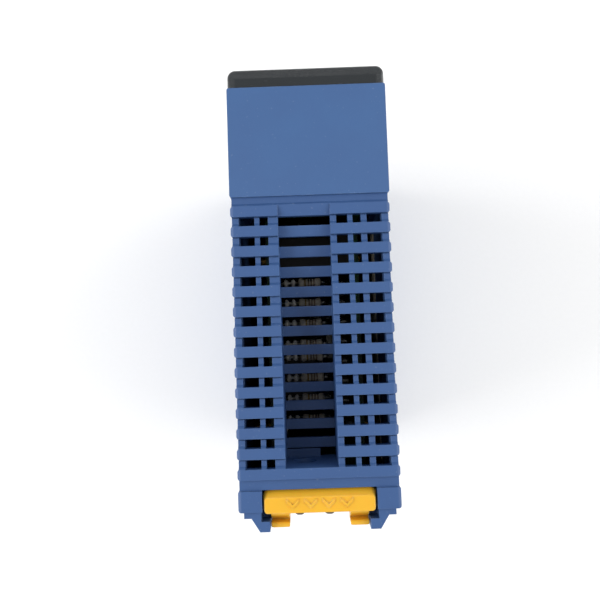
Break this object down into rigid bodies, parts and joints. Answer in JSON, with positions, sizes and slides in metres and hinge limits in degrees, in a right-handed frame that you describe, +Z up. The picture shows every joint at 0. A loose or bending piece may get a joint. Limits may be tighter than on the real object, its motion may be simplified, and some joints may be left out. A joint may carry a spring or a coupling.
{
  "type": "plc module",
  "caption": "Slim rack-mounted PLC input/output module with louvred case, tinted display and terminal covers, removable terminal block and a press-to-release rear latch.",
  "frame": {"origin": "middle of the underside of the module's box; the module stands on z = 0", "axes": "+X across the width, -Y towards the front with display and terminals, +Y towards the rear with lever and hooks, +Z up"},
  "size_m": [0.0288, 0.0832, 0.1],
  "materials": {
    "blue_case": "fine matt moulding",
    "smoke": "tinted clear, gloss",
    "yellow": "satin moulding",
    "clear": "clear, gloss",
    "pale_plastic": "matt",
    "black_plastic": "matt",
    "grey_plastic": "matt",
    "circuit_board": "solder resist",
    "steel": "zinc plated",
    "spring_steel": "drawn wire",
    "brass": "turned",
    "tinned": "tin plate",
    "aluminium": "drawn can",
    "paper": "matt",
    "ceramic": "matt"
  },
  "bodies": {
    "housing": {"rear_housing": "blue_case", "front_housing": "blue_case", "display_cover": "smoke", "indicator_mask": "black_plastic", "light_guide": "clear", "indicator_board": "circuit_board", "indicator_leds": "clear", "display_connector": "pale_plastic", "block_screw_inserts": "brass", "block_header": "black_plastic", "header_blades": "tinned", "terminal_board": "circuit_board", "io_board": "circuit_board", "logic_board": "circuit_board", "insulating_sheet": "pale_plastic", "board_spacers": "brass", "board_screws": "steel", "board_link_socket": "black_plastic", "board_link_header": "black_plastic", "input_resistors": "ceramic", "resistor_leads": "tinned", "optocouplers": "black_plastic", "electrolytic_capacitors": "aluminium", "power_converter": "black_plastic", "bus_interface_chip": "black_plastic", "register_chips": "black_plastic", "chip_capacitors": "ceramic", "clock_crystal": "tinned", "bus_board": "circuit_board", "bus_connector": "grey_plastic", "bus_contacts": "brass", "lever_springs": "spring_steel", "rating_label": "paper"},
    "lever": {"release_lever": "yellow"},
    "block": {"terminal_block": "black_plastic", "terminal_plates": "tinned", "terminal_washers": "steel", "terminal_screws": "steel", "block_screws": "steel", "cover_hinge_pins": "steel"},
    "cover": {"terminal_cover": "smoke", "terminal_name_card": "paper"}
  },
  "joints": [
    {"name": "lever_press", "type": "slide", "parent": "housing", "child": "lever", "axis": [0, 0, -1], "range_m": [0, 0.002], "stiffness_N_per_m": 400, "deforming": ["lever_springs"]},
    {"name": "block_pull", "type": "slide", "parent": "housing", "child": "block", "axis": [0, -1, 0], "range_m": [0, 0.012]},
    {"name": "cover_swing", "type": "hinge", "parent": "block", "child": "cover", "pos_m": [-0.0129, -0.0401, 0.0388], "axis": [0, 0, -1], "range_deg": [0, 105]}
  ]
}
